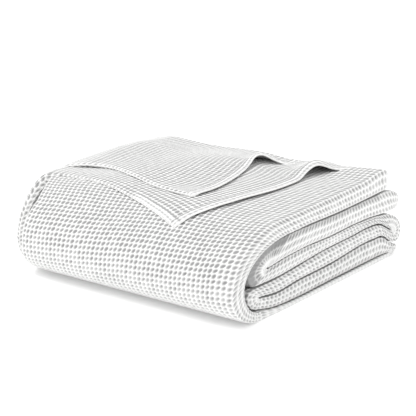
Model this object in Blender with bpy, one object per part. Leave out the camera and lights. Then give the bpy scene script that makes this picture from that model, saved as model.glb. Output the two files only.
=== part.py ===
"""A waffle weave cotton blanket, folded into a low square stack.

The cloth is one piece. Folded lengthwise into a long strip, it lies back and forth in six runs:
two noses at the front and two lobes at the rear join the inner runs, and the last run goes under
them, round the front as one broad bullnose and back over the top. The end of the cloth comes up
round the left end and lies over the top as two corners with turned hems.

Sizes are in millimetres. X runs along the front, from left to right. In the section, "back" is
the distance behind the front of the stack and "up" the height over the surface it rests on.
"""

import math

import bmesh
import bpy
import numpy as np

MM = 0.001

STACK_DEPTH = 446.0
TOP_UP = 134.0
RIGHT_END = 226.0
EDGE_ROUND = 12.0  # the folded edges of the strip, at both ends of the stack
END_ROUND = 16.0  # the strip's two free ends, seen from above
LAYER_GAP = 2.0  # between one run and the next
EDGE_TURN = 5  # points round each folded edge of the strip
EDGE_FLAT = 9  # points from one folded edge to the other
EDGE_CROWD = 0.85  # below 1 they stand closer together towards the right

# The left end: the edge of the top, a belly that stands out below it, and a foot tucked in
LEFT_TOP = -188.0
LEFT_BELLY = 30.0
LEFT_BELLY_UP = 50.0
LEFT_TUCK = 20.0
LEFT_FOOT_UP = 7.8
LEFT_UNDER = 30.0  # how far the end of the cloth runs in under the stack

# Heights along the gaps between the runs, from the front to the rear: (back, up)
GAP_LINES = {
    "under_wrap": [(140, 105), (180, 106), (250, 104.5), (330, 105.5), (400, 109)],
    "second_third": [
        (90, 67),
        (124, 72),
        (170, 75),
        (240, 74),
        (310, 75),
        (360, 74),
        (384, 72.5),
        (405, 71),
    ],
    "third_fourth": [
        (45, 48),
        (110, 49),
        (152, 52),
        (223, 57.5),
        (308, 59),
        (346, 60.5),
        (383, 57),
        (415, 41),
    ],
    "fourth_fifth": [
        (68, 31.5),
        (110, 27.5),
        (153, 30.5),
        (238, 31.5),
        (363, 38),
        (391, 36),
        (421, 19),
        (432, 17),
    ],
    "over_bottom": [(64, 15), (96, 9), (125, 7), (250, 6.5), (407, 7)],
    "top": [(114, 132), (383, 136)],
    "floor": [(67, 0), (405, 0)],
}

# Quarter ellipses of the folds: centre back and up, reach back, reach up, first and last degrees
ARCS = {
    "lobe_two_top": (389, 80, 56, 27.4, 8, 90),
    "lobe_two_under": (405, 80, 40, 8, -8, -90),
    "upper_nose": (140, 50, 101, 54, 90, 163),
    "upper_nose_under": (56, 66, 12.6, 17, 180, 270),
    "lobe_three": (384, 34, 62, 37.5, 90, 0),
    "lobe_three_under": (432, 34, 14, 16, 0, -90),
    "lower_nose": (53, 36, 12, 11, 90, 180),
    "lower_nose_under": (64, 36, 23, 20, 180, 270),
    "lobe_four": (421, 12, 13, 6, 90, 0),
    "lobe_four_under": (405, 12, 29, 12, 0, -90),
    "bullnose_under": (67, 48, 67, 48, 270, 180),
    "bullnose": (114, 48, 114, 84, 180, 90),
    "bullnose_inner_under": (64, 50, 29, 36, 270, 180),
    "bullnose_inner": (140, 50, 105, 56, 180, 90),
    "lobe_one": (383, 116, 22, 20, 90, 8),
    "lobe_one_under": (384, 116, 21, 6.6, -90, -8),
}

# The strip from its inner end to its outer end. Each stage has its number of steps, how far its
# edge stands back from the right end, and the lines that its left and right sides follow.
STAGES = [
    (6, -1, [("arc", "lobe_two_under")], [("arc", "lobe_two_top")]),
    (12, 2, [("gap", "second_third", 1, 405, 90)], [("gap", "under_wrap", -1, 389, 140)]),
    (11, 5, [("tip", "second_third", 0)], [("arc", "upper_nose"), ("arc", "upper_nose_under")]),
    (13, 3, [("gap", "second_third", -1, 90, 360)], [("gap", "third_fourth", 1, 56, 383)]),
    (3, 2, [("gap", "second_third", -1, 360, 384)], [("gap", "third_fourth", 1, 383, 415)]),
    (10, 1, [("arc", "lobe_three"), ("arc", "lobe_three_under")], [("tip", "third_fourth", 1)]),
    (4, 2, [("gap", "fourth_fifth", 1, 432, 391)], [("gap", "third_fourth", -1, 415, 383)]),
    (13, 3, [("gap", "fourth_fifth", 1, 391, 68)], [("gap", "third_fourth", -1, 383, 53)]),
    (9, 5, [("tip", "fourth_fifth", 0)], [("arc", "lower_nose"), ("arc", "lower_nose_under")]),
    (13, 3, [("gap", "fourth_fifth", -1, 68, 391)], [("gap", "over_bottom", 1, 64, 380)]),
    (4, 2, [("gap", "fourth_fifth", -1, 391, 421)], [("gap", "over_bottom", 1, 380, 407)]),
    (6, 2, [("arc", "lobe_four"), ("arc", "lobe_four_under")], [("tip", "over_bottom", 1)]),
    (10, 1, [("gap", "floor", 0, 405, 67)], [("gap", "over_bottom", -1, 407, 64)]),
    (
        20,
        0,
        [("arc", "bullnose_under"), ("arc", "bullnose")],
        [("arc", "bullnose_inner_under"), ("arc", "bullnose_inner")],
    ),
    (11, 0, [("gap", "top", 0, 114, 383)], [("gap", "under_wrap", 1, 140, 384)]),
    (6, 0, [("arc", "lobe_one")], [("arc", "lobe_one_under")]),
]

# Each flap lies over the top and down the left end. "front" is its front edge and "hem" its right
# hem, as (along, back) points, where along goes on down the left end. "thick" is its sheet and
# "clear" the room under it, "root" is how far its left end sinks into what it is fast to,
# "rear_drop" how far it hangs over the rear, and "steps" its faces along, across the top and down
# the rear. Its rolls are soft mounds: height, place along and back, and half widths both ways.
FLAPS = {
    "lower": {
        "thick": 3.6,
        "clear": 2.0,
        "root": 0.0,
        "front": [(-350, 50), (-228, 52), (-160, 80), (-105, 86), (-32, 68), (98, 38)],
        "hem": [(98, 38), (125, 93), (137, 154), (147, 213), (146, 277), (150, 400)],
        "rear_drop": 24.0,
        "steps": (28, 14, 4),
        "rolls": [(9.0, 118.0, 410.0, 20.0, 150.0)],
    },
    "upper": {
        "thick": 3.6,
        "clear": 7.6,
        "root": 4.6,
        "front": [(-262, 116), (-190, 122), (-131, 152), (-56, 130), (1, 114), (78, 104)],
        "hem": [(78, 104), (82, 150), (74, 202), (60, 250), (38, 314), (20, 400)],
        "rear_drop": 14.0,
        "steps": (20, 11, 3),
        "rolls": [(4.0, 28.0, 410.0, 22.0, 130.0), (5.0, -175.0, 215.0, 45.0, 110.0)],
    },
}
ROOT_SHARE = (0.1, 0.04)  # where along a flap its root begins and is at its deepest
HEM_WIDE = 12.5
HEM_THICK = 1.2  # how much the turned hem stands proud of the sheet

# Where each unevenness of the stack begins and where it is full, in millimetres
ZONES = {
    "height": (0, 120),
    "left_end": (-110, -210),
    "front_half": (180, 30),
    "off_the_front": (0, 90),
    "rear_half": (230, 400),
    "rear_left_of": (200, 20),
    "rear_left_end": (-40, -200),
    "rear_top": (92, 108),
    "corner_along": (-100, -210),
    "corner_back": (85, 0),
    "corner_up": (60, 120),
}
SWAY = 2.2  # how far the layers sway back and forth, the sway's wave and where it begins
SWAY_WAVE = 47.0
SWAY_START = 0.8
FRONT_LEFT_BACK = 12.0  # the upper layers sit back at the front left
FRONT_LEFT_IN = (60.0, 20.0)  # the strip's front left corner is drawn in: low down, and more above
REAR_SET = 34.0  # the top run ends short of the rear, but for its right end
REAR_SET_LESS = 14.0  # less so at its left end
SWELL = 0.012  # shares of the height that the layers rise and fall by along the stack
SWELL_WAVE = 58.0
SWELL_START = 2.0
RIPPLE = 0.01
RIPPLE_WAVES = (31.0, 60.0)
FLAP_WAVE = 0.8
FLAP_WAVES = (30.0, 45.0)
END_NARROWS = 0.97  # how far round its corner the strip's free end is cut off
LINE_POINTS = 60  # points along each curve that is measured before it is divided


def smooth(value):
    """0 below 0, 1 above 1, and a soft step between."""
    t = np.clip(value, 0.0, 1.0)
    return t * t * (3.0 - 2.0 * t)


def zone(name, value):
    """A soft step from 0 where a zone begins to 1 where it is full."""
    begins, full = ZONES[name]
    return smooth((value - begins) / (full - begins))


def through(points, at):
    """A smooth height through named points, by cubic pieces with slopes from their neighbours."""
    px = np.array([p[0] for p in points], float)
    py = np.array([p[1] for p in points], float)
    slope = np.gradient(py, px)
    at = np.clip(at, px[0], px[-1])
    k = np.clip(np.searchsorted(px, at, side="right") - 1, 0, len(px) - 2)
    width = px[k + 1] - px[k]
    t = (at - px[k]) / width
    a = py[k] * (1 + 2 * t) * (1 - t) ** 2 + py[k + 1] * t * t * (3 - 2 * t)
    return a + width * (slope[k] * t * (1 - t) ** 2 - slope[k + 1] * t * t * (1 - t))


def run_lengths(line):
    """The distance along a line of points, at each point."""
    return np.concatenate([[0.0], np.cumsum(np.hypot(*np.diff(line, axis=0).T))])


def arc_points(name, count):
    """Points along one of the named quarter ellipses."""
    back, up, reach, rise, first, last = ARCS[name]
    angle = np.radians(np.linspace(first, last, count))
    return np.stack([back + reach * np.cos(angle), up + rise * np.sin(angle)], 1)


def gap_points(name, side, first, last, count):
    """Points along a gap line, half the gap above (side 1) or below (side -1) it."""
    back = np.linspace(first, last, count)
    return np.stack([back, through(GAP_LINES[name], back) + side * LAYER_GAP / 2], 1)


def tip_points(name, at_rear, count):
    """The half circle that closes a gap at its front or its rear end."""
    back, up = GAP_LINES[name][-1 if at_rear else 0]
    angle = np.radians(np.linspace(90, -90, count))
    reach = np.cos(angle) * LAYER_GAP / 2
    return np.stack([back + (reach if at_rear else -reach), up + np.sin(angle) * LAYER_GAP / 2], 1)


def side_points(pieces, count):
    """One side of a stage: one line, or two arcs that share the steps by their length."""
    kind, name = pieces[0][:2]
    if kind == "gap":
        return gap_points(name, pieces[0][2], pieces[0][3], pieces[0][4], count)
    if kind == "tip":
        return tip_points(name, pieces[0][2], count)
    dense = np.concatenate([arc_points(piece[1], LINE_POINTS) for piece in pieces])
    run = run_lengths(dense)
    at = np.linspace(0, run[-1], count)
    return np.stack([np.interp(at, run, dense[:, 0]), np.interp(at, run, dense[:, 1])], 1)


def strip_section():
    """Left and right sides of the folded strip, and how far its edge stands back, per station."""
    left, right, stand_back = [], [], []
    for steps, back_set, left_side, right_side in STAGES:
        skip = 1 if left else 0
        left.append(side_points(left_side, steps + 1)[skip:])
        right.append(side_points(right_side, steps + 1)[skip:])
        stand_back.append(np.full(steps + 1 - skip, float(back_set)))
    stand_back = np.concatenate(stand_back)
    soft = np.convolve(np.pad(stand_back, 2, mode="edge"), np.ones(5) / 5, mode="valid")
    return np.concatenate(left), np.concatenate(right), soft


def left_line():
    """The left end seen from the front: (along, up) from the top's edge down and in under it."""
    turn = np.linspace(0, np.pi / 2, LINE_POINTS)
    high_x = LEFT_TOP - LEFT_BELLY * np.sin(turn)
    high_up = LEFT_BELLY_UP + (TOP_UP - LEFT_BELLY_UP) * np.cos(turn)
    low_x = LEFT_TOP - LEFT_BELLY + LEFT_TUCK * (1 - np.cos(turn[1:]))
    low_up = LEFT_BELLY_UP - (LEFT_BELLY_UP - LEFT_FOOT_UP) * np.sin(turn[1:])
    under = np.array([[low_x[-1] + LEFT_UNDER, LEFT_FOOT_UP]])
    high = np.stack([high_x, high_up], 1)
    low = np.stack([low_x, low_up], 1)
    return np.concatenate([high, low, under])


def left_reach(up):
    """How far left the strip reaches at a height, a layer gap inside the left line."""
    line = left_line()[:-1][::-1]
    return np.interp(up, line[:, 1], line[:, 0]) + LAYER_GAP


def corner_in(x, back, up):
    """How far the front left corner of the strip is drawn in: it is broad and round."""
    most = FRONT_LEFT_IN[0] + FRONT_LEFT_IN[1] * zone("corner_up", up)
    return most * zone("corner_along", x) * zone("corner_back", back)


def settle(points):
    """The stack's own unevenness: it sways a little, and its upper layers sit back at the left."""
    x, back, up = points[..., 0], points[..., 1], points[..., 2]
    sway = SWAY * np.sin(x / SWAY_WAVE + SWAY_START) * zone("height", up)
    left_back = FRONT_LEFT_BACK * zone("left_end", x) ** 2 * zone("front_half", back)
    rear_set = REAR_SET - REAR_SET_LESS * zone("rear_left_end", x)
    rear_set = rear_set * zone("rear_left_of", x) * zone("rear_half", back) * zone("rear_top", up)
    swell = SWELL * np.sin(x / SWELL_WAVE + SWELL_START) * zone("off_the_front", back)
    ripple = RIPPLE * np.sin(x / RIPPLE_WAVES[0] - back / RIPPLE_WAVES[1])
    level = back + sway + left_back - rear_set - STACK_DEPTH / 2
    return np.stack([x, level, up * (1.0 + swell + ripple)], -1)


def add_mesh(name, points, faces):
    """An object from points in millimetres and faces, with its normals outward."""
    mesh = bpy.data.meshes.new(name)
    mesh.from_pydata((points * MM).tolist(), [], faces)
    shape = bmesh.new()
    shape.from_mesh(mesh)
    bmesh.ops.recalc_face_normals(shape, faces=shape.faces)
    shape.to_mesh(mesh)
    shape.free()
    mesh.validate()
    thing = bpy.data.objects.new(name, mesh)
    bpy.context.collection.objects.link(thing)
    return thing


def edge_loop():
    """Once round the strip: how far along it (0 left, 1 right), edge turn, and side (1 to -1)."""
    turn = np.radians(np.linspace(90, -90, EDGE_TURN + 2))[1:-1]
    flat = np.linspace(0, 1, EDGE_FLAT) ** EDGE_CROWD
    level = np.zeros(EDGE_FLAT)
    along = np.concatenate([flat, np.ones(EDGE_TURN), flat[::-1], np.zeros(EDGE_TURN)])
    out = np.concatenate([level, np.cos(turn), level, np.cos(turn)])
    side = np.concatenate([level + 1, np.sin(turn), level - 1, -np.sin(turn)])
    return along, out, side


def cap_faces(first, around):
    """Rungs across one end of the strip, from the middle of its left edge to that of its right."""
    middle = around - 1 - EDGE_TURN // 2
    faces = []
    for step in range(around // 2):
        rung = [middle + step, middle + step + 1, middle - step - 1, middle - step]
        corners = list(dict.fromkeys(first + k % around for k in rung))
        faces.append(tuple(corners))
    return faces


def tube_faces(rings, around):
    """Quads between rings of points, and rungs across each end."""
    faces = []
    for ring in range(rings - 1):
        for step in range(around):
            a = ring * around + step
            b = ring * around + (step + 1) % around
            faces.append((a, b, b + around, a + around))
    return faces + cap_faces(0, around) + cap_faces((rings - 1) * around, around)


def end_share(stations):
    """How near each station is to a free end of the strip: 0 along it, almost 1 at its last."""
    share = np.zeros(stations)
    steps = STAGES[0][0]
    share[: steps + 1] = np.linspace(END_NARROWS, 0, steps + 1)
    steps = STAGES[-1][0]
    share[-steps - 1 :] = np.linspace(0, END_NARROWS, steps + 1)
    return share


def folded_strip():
    """The strip in its six runs: a flat oval with folded edges, carried along the section."""
    left, right, stand_back = strip_section()
    along, out, side = edge_loop()
    middle = (left + right) / 2
    half = (left - right) / 2
    section = middle[:, None, :] + half[:, None, :] * side[None, :, None]
    pinch = END_ROUND * (1 - np.sqrt(1 - end_share(len(middle)) ** 2))
    right_end = (RIGHT_END - EDGE_ROUND - stand_back - pinch)[:, None]
    left_end = left_reach(section[..., 1]) + EDGE_ROUND + pinch[:, None]
    x = left_end + (right_end - left_end) * along
    x = x + np.where(along > 0.5, 1.0, -1.0) * out * EDGE_ROUND
    x = x + corner_in(x, section[..., 0], section[..., 1])
    points = np.concatenate([x[..., None], section], 2)
    rings, around = x.shape
    return add_mesh("strip", settle(points).reshape(-1, 3), tube_faces(rings, around))


def top_profile():
    """The outer line of the stack over its front, top and rear lobe, and where the lobe begins."""
    nose = arc_points("bullnose", LINE_POINTS)
    lobe = arc_points("lobe_one", LINE_POINTS)
    back = np.linspace(nose[-1, 0], lobe[0, 0], LINE_POINTS)
    top = np.stack([back, through(GAP_LINES["top"], back)], 1)
    line = np.concatenate([nose[:-1], top, lobe[1:]])
    run = run_lengths(line)
    return line, run, run[len(nose) + len(top) - 2]


def outward(line, run, at):
    """The outward direction of a line at a distance along it, left of the way it runs."""
    step = np.stack([np.gradient(line[:, 0], run), np.gradient(line[:, 1], run)], 1)
    across = np.interp(at, run, step[:, 0])
    rise = np.interp(at, run, step[:, 1])
    return -rise, across


def flap_lift(plan, along, path, back):
    """How high a flap's middle lies over the stack: its clearance, waves, rolls and root."""
    lift = plan["clear"] + plan["thick"] / 2
    lift = lift + FLAP_WAVE * (1 + np.sin(path / FLAP_WAVES[0] + back / FLAP_WAVES[1]))
    for height, at_along, at_back, wide, deep in plan["rolls"]:
        lift = lift + height * np.exp(-(((path - at_along) / wide) ** 2) - ((back - at_back) / deep) ** 2)
    begins, full = ROOT_SHARE
    return lift - plan["root"] * smooth((along - begins) / (full - begins))


def flap_surface(plan, along, across):
    """Middle surface of a flap: its plan laid over the top profile and down the left line.

    Across goes from 0 at the front edge to 1 where the rear lobe begins, and to 2 at the rear edge.
    """
    line, run, rear_run = top_profile()
    start = plan["front"][0][0]
    tip = plan["front"][-1][0]
    first_back = through(plan["front"], start + along * (tip - start))
    first_run = np.interp(first_back, line[:, 0], run)
    at_run = first_run + np.clip(across, 0, 1) * (rear_run - first_run)
    at_run = at_run + np.clip(across - 1, 0, 1) * plan["rear_drop"]
    back = np.interp(at_run, run, line[:, 0])
    up = np.interp(at_run, run, line[:, 1])
    hem = through([(p[1], p[0]) for p in plan["hem"]], back)
    path = start + along * (hem - start)
    lift = flap_lift(plan, along, path, back)

    out_back, out_up = outward(line, run, at_run)
    end = left_line()
    end_run = run_lengths(end)
    over = np.clip(LEFT_TOP - path, 0, None)
    upward, aside = outward(end[:, ::-1], end_run, over)
    x = np.where(over > 0, np.interp(over, end_run, end[:, 0]) + lift * aside, path)
    share = np.interp(over, end_run, end[:, 1]) / TOP_UP
    upward = np.where(over > 0, upward, 1.0)
    return np.stack([x, back + lift * out_back * upward, up * share + lift * out_up * upward], -1)


def flap(name):
    """A flap as a closed sheet: its middle surface, thickened along its normals."""
    plan = FLAPS[name]
    rows, top_steps, rear_steps = plan["steps"]
    across_steps = np.append(np.linspace(0, 1, top_steps), np.linspace(1, 2, rear_steps + 1)[1:])
    columns = len(across_steps)
    hem_share = HEM_WIDE / (plan["front"][-1][0] - plan["front"][0][0])
    step_share = HEM_THICK * hem_share / HEM_WIDE
    sheet = np.linspace(0, 1 - hem_share - step_share, rows - 2)
    along_steps = np.concatenate([sheet, [1 - hem_share, 1]])
    along, across = np.meshgrid(along_steps, across_steps, indexing="ij")
    middle = settle(flap_surface(plan, along, across))
    normal = np.cross(np.gradient(middle, axis=0), np.gradient(middle, axis=1))
    normal /= np.linalg.norm(normal, axis=-1, keepdims=True)
    half = plan["thick"] / 2
    proud = np.where(along[..., None] >= 1 - hem_share, HEM_THICK, 0.0)
    upper = (middle + normal * (half + proud)).reshape(-1, 3)
    lower = (middle - normal * half).reshape(-1, 3)
    count = rows * columns
    faces = []
    for i in range(rows - 1):
        for j in range(columns - 1):
            a = i * columns + j
            quad = (a, a + columns, a + columns + 1, a + 1)
            faces.append(quad)
            faces.append(tuple(count + k for k in reversed(quad)))
    rim = [i * columns for i in range(rows)]
    rim += [(rows - 1) * columns + j for j in range(1, columns)]
    rim += [i * columns + columns - 1 for i in range(rows - 2, -1, -1)]
    rim += list(range(columns - 2, 0, -1))
    for a, b in zip(rim, rim[1:] + rim[:1]):
        faces.append((a, count + a, count + b, b))
    return add_mesh(name + "_flap", np.concatenate([upper, lower]), faces)


def join(base, added):
    """Makes one solid of two that meet."""
    union = base.modifiers.new("join", "BOOLEAN")
    union.operation = "UNION"
    union.solver = "EXACT"
    union.object = added
    bpy.context.view_layer.update()
    result = bpy.data.meshes.new_from_object(base.evaluated_get(bpy.context.evaluated_depsgraph_get()))
    base.modifiers.clear()
    old = base.data
    base.data = result
    bpy.data.meshes.remove(old)
    bpy.data.objects.remove(added)


def cotton():
    """Bleached cotton yarn: white, matt."""
    material = bpy.data.materials.new("bleached cotton")
    material.use_nodes = True
    shader = material.node_tree.nodes["Principled BSDF"]
    shader.inputs["Base Color"].default_value = (0.86, 0.86, 0.85, 1.0)
    shader.inputs["Roughness"].default_value = 0.95
    shader.inputs["Metallic"].default_value = 0.0
    return material


def main():
    for thing in list(bpy.data.objects):
        bpy.data.objects.remove(thing)
    blanket = folded_strip()
    for name in FLAPS:
        join(blanket, flap(name))
    blanket.name = "blanket"
    blanket.data.name = "blanket"
    blanket.data.materials.clear()
    blanket.data.materials.append(cotton())
    blanket.data.shade_smooth()
    blanket.data.set_sharp_from_angle(angle=math.radians(50))


main()
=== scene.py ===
import math

import bpy
import numpy as np
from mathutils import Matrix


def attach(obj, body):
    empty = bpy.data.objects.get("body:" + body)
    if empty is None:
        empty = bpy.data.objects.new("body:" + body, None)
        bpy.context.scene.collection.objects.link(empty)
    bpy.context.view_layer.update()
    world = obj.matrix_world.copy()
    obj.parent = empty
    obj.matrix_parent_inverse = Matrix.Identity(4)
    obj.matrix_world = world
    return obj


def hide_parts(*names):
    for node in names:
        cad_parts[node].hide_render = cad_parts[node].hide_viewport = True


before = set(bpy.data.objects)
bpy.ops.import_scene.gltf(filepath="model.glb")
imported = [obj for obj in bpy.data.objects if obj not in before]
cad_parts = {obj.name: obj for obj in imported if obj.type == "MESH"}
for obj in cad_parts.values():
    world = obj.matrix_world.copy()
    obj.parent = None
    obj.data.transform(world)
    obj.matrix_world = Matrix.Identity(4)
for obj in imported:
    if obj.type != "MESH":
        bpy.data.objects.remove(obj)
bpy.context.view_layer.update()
print("frame loaded:", sorted(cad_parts))

# A white waffle weave cotton blanket, folded into a stack. One strip of folded cloth is carried through
# the stack's section, and two loose corners lie over it. All lengths are in millimetres: x along the
# front, back behind the front fold, up from the surface it lies on.

metres = 0.001  # in a millimetre
tiny = 1e-9  # keeps a length of nothing from dividing
# points along each curve, before it is divided evenly
samples = {"arc": 200, "leftEnd": 60, "topFront": 120, "topLine": 120, "topRear": 60, "edge": 400}

stack = {
    "depth": 446.0,  # from the front fold to the rear
    "topUp": 134.0,  # where the left end begins to fall
    "rightEnd": 226.0,
    "edgeRound": 12.0,  # how far a folded edge stands out
    "endRound": 16.0,  # how far the strip's two ends draw in
    "endNarrows": 0.97,  # how much of a quarter circle that follows
    "layerGap": 2.0,  # between the strip and the loose corners at the left end
    "leftTop": -188.0,  # where the left end begins
    "leftBelly": 30.0,  # how far it bulges
    "leftBellyUp": 50.0,
    "leftTuck": 20.0,  # how far its foot comes back in
    "leftFootUp": 7.8,
    "leftUnder": 30.0,  # how far it goes on under the stack
    "sway": 2.2,  # to the front and back
    "swayWave": 47.0,
    "swayStart": 0.8,
    "frontLeftBack": 12.0,  # how far the front sits back at the left end
    # how far back, and how far the front left corner is drawn in there, above and below its middle
    "cornerAbove": ((0, 9, 37, 60, 75, 95, 114, 135), (60, 57, 52, 37, 25, 10, 3, 0)),
    "cornerBelow": ((0, 13, 37, 67, 90), (60, 48, 34, 16, 0)),
    "cornerAlong": (190.0, -215.0),  # where the drawing in begins and where it is full
    "rearRise": 7.0,  # how much higher the rear right corner stands
    "rearSet": 34.0,  # how far the rear of the top run sits forward, left of its right end
    "rearSetLess": 14.0,  # how much less at the left end
    "swell": 0.012,  # of the height
    "swellWave": 58.0,
    "swellStart": 2.0,
    "ripple": 0.01,  # of the height
    "rippleWaves": (31.0, 60.0),
    "fineSteps": 12,  # stations to a step of the strip
    "standBackEase": 5,  # steps over which one stand-back turns into the next
}

# heights along the gaps between the runs, from front to rear: (back, up)
gapLines = {
    "underWrap": [(140, 105), (180, 106), (250, 104.5), (330, 105.5), (400, 109)],
    "secondThird": [
        (90, 67), (124, 72), (170, 75), (240, 74), (310, 75), (360, 74), (384, 72.5), (405, 71)
    ],
    "thirdFourth": [
        (45, 48), (110, 49), (152, 52), (223, 57.5), (308, 59), (346, 60.5), (383, 57), (415, 41)
    ],
    "fourthFifth": [
        (68, 31.5), (110, 27.5), (153, 30.5), (238, 31.5), (363, 38), (391, 36), (421, 19), (432, 17)
    ],
    "overBottom": [(64, 15), (96, 9), (125, 7), (250, 6.5), (407, 7)],
    "top": [(114, 132), (383, 136)],
    "floor": [(67, 0), (405, 0)],
}
gapWidths = {
    "underWrap": 2.0,
    "secondThird": 0.6,
    "thirdFourth": 1.4,
    "fourthFifth": 1.6,
    "overBottom": 0.7,
    "top": 0.0,
    "floor": 0.0,
}

# quarter ellipses of the folds: centre back and up, reach back, reach up, first and last degrees
foldArcs = {
    "lobeTwoTop": (389, 80, 56, 27.4, 8, 90),
    "lobeTwoUnder": (405, 80, 40, 8, -8, -90),
    "upperNose": (140, 50, 101, 54, 90, 163),
    "upperNoseUnder": (56, 66, 12.6, 17, 180, 270),
    "lobeThree": (384, 34, 62, 37.5, 90, 0),
    "lobeThreeUnder": (432, 34, 14, 16, 0, -90),
    "lowerNose": (53, 36, 12, 11, 90, 180),
    "lowerNoseUnder": (64, 36, 23, 20, 180, 270),
    "lobeFour": (421, 12, 13, 6, 90, 0),
    "lobeFourUnder": (405, 12, 29, 12, 0, -90),
    "bullnoseUnder": (67, 48, 67, 48, 270, 180),
    "bullnose": (114, 48, 114, 84, 180, 90),
    "bullnoseInnerUnder": (64, 50, 35, 36, 270, 180),
    "bullnoseInner": (140, 50, 111, 56, 180, 90),
    "lobeOne": (383, 116, 22, 20, 90, 8),
    "lobeOneUnder": (384, 116, 21, 6.6, -90, -8),
}

# the strip from its inner end to its outer end: name, steps, stand-back, its left and right sides. A side
# is a gap line, which side of it and from where to where; a gap's front (0) or rear (1) end; or arcs.
stages = [
    ("lobeTwo", 6, -1, [("arc", "lobeTwoUnder")], [("arc", "lobeTwoTop")]),
    ("runTwo", 12, 2, [("gap", "secondThird", 1, 405, 90)], [("gap", "underWrap", -1, 389, 140)]),
    ("noseUpper", 11, 7, [("tip", "secondThird", 0)], [("arc", "upperNose"), ("arc", "upperNoseUnder")]),
    ("runThree", 13, 3, [("gap", "secondThird", -1, 90, 360)], [("gap", "thirdFourth", 1, 56, 383)]),
    ("runThreeRear", 3, 2, [("gap", "secondThird", -1, 360, 384)], [("gap", "thirdFourth", 1, 383, 415)]),
    ("lobeThree", 10, 1, [("arc", "lobeThree"), ("arc", "lobeThreeUnder")], [("tip", "thirdFourth", 1)]),
    ("runFourRear", 4, 2, [("gap", "fourthFifth", 1, 432, 391)], [("gap", "thirdFourth", -1, 415, 383)]),
    ("runFour", 13, 3, [("gap", "fourthFifth", 1, 391, 68)], [("gap", "thirdFourth", -1, 383, 53)]),
    ("noseLower", 9, 5, [("tip", "fourthFifth", 0)], [("arc", "lowerNose"), ("arc", "lowerNoseUnder")]),
    ("runFive", 13, 3, [("gap", "fourthFifth", -1, 68, 391)], [("gap", "overBottom", 1, 64, 380)]),
    ("runFiveRear", 4, 2, [("gap", "fourthFifth", -1, 391, 421)], [("gap", "overBottom", 1, 380, 407)]),
    ("lobeFour", 6, 2, [("arc", "lobeFour"), ("arc", "lobeFourUnder")], [("tip", "overBottom", 1)]),
    ("bottomRun", 10, 1, [("gap", "floor", 0, 405, 67)], [("gap", "overBottom", -1, 407, 64)]),
    (
        "bullnose",
        20,
        0,
        [("arc", "bullnoseUnder"), ("arc", "bullnose")],
        [("arc", "bullnoseInnerUnder"), ("arc", "bullnoseInner")],
    ),
    ("topRun", 11, 0, [("gap", "top", 0, 114, 383)], [("gap", "underWrap", 1, 140, 384)]),
    ("lobeOne", 6, 0, [("arc", "lobeOne")], [("arc", "lobeOneUnder")]),
]

# where each unevenness begins and where it is full
zones = {
    "height": (0, 120),
    "leftEnd": (-110, -210),
    "frontHalf": (180, 30),
    "offTheFront": (0, 90),
    "rearHalf": (230, 400),
    "rearLeftOf": (200, 20),
    "rearLeftEnd": (-40, -200),
    "rearTop": (92, 108),
    "cornerUp": (35, 62),
    "riseRight": (120, 180),
    "riseBack": (320, 385),
    "riseUp": (112, 132),
}


def between(begins, full, value):
    # 0 where it begins, 1 where it is full, and 3t^2 - 2t^3 of the share t of the way between
    t = np.clip((value - begins) / (full - begins), 0.0, 1.0)
    return t * t * (3.0 - 2.0 * t)


def inZone(name, value):
    # the soft step of a named zone
    return between(*zones[name], value)


def heightThrough(points, at):
    # cubic pieces through the points, with slopes from their neighbours
    px = np.array([p[0] for p in points], float)
    py = np.array([p[1] for p in points], float)
    slope = np.gradient(py, px)
    at = np.clip(at, px[0], px[-1])
    k = np.clip(np.searchsorted(px, at, side="right") - 1, 0, len(px) - 2)
    width = px[k + 1] - px[k]
    t = (at - px[k]) / width
    value = py[k] * (1 + 2 * t) * (1 - t) ** 2 + py[k + 1] * t * t * (3 - 2 * t)
    return value + width * (slope[k] * t * (1 - t) ** 2 - slope[k + 1] * t * t * (1 - t))


def distanceAlong(line):
    # the sum of the steps up to each point
    return np.concatenate([[0.0], np.cumsum(np.hypot(*np.diff(line, axis=0).T))])


def arcPoints(name, count):
    # centre + (reach cos a, rise sin a)
    back, up, reach, rise, first, last = foldArcs[name]
    angle = np.radians(np.linspace(first, last, count))
    return np.stack([back + reach * np.cos(angle), up + rise * np.sin(angle)], 1)


def sidePoints(pieces, count):
    # a gap line with half a gap to one side, the half circle at a gap's end, or arcs divided evenly
    kind, name = pieces[0][:2]
    if kind == "gap":
        side, begins, ends = pieces[0][2:]
        back = np.linspace(begins, ends, count)
        return np.stack([back, heightThrough(gapLines[name], back) + side * gapWidths[name] / 2], 1)
    if kind == "tip":
        atRear = pieces[0][2]
        back, up = gapLines[name][-1 if atRear else 0]
        angle = np.radians(np.linspace(90, -90, count))
        reach = np.cos(angle) * gapWidths[name] / 2 * (1 if atRear else -1)
        return np.stack([back + reach, up + np.sin(angle) * gapWidths[name] / 2], 1)
    dense = np.concatenate([arcPoints(piece[1], samples["arc"]) for piece in pieces])
    run = distanceAlong(dense)
    at = np.linspace(0, run[-1], count)
    return np.stack([np.interp(at, run, dense[:, 0]), np.interp(at, run, dense[:, 1])], 1)


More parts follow.
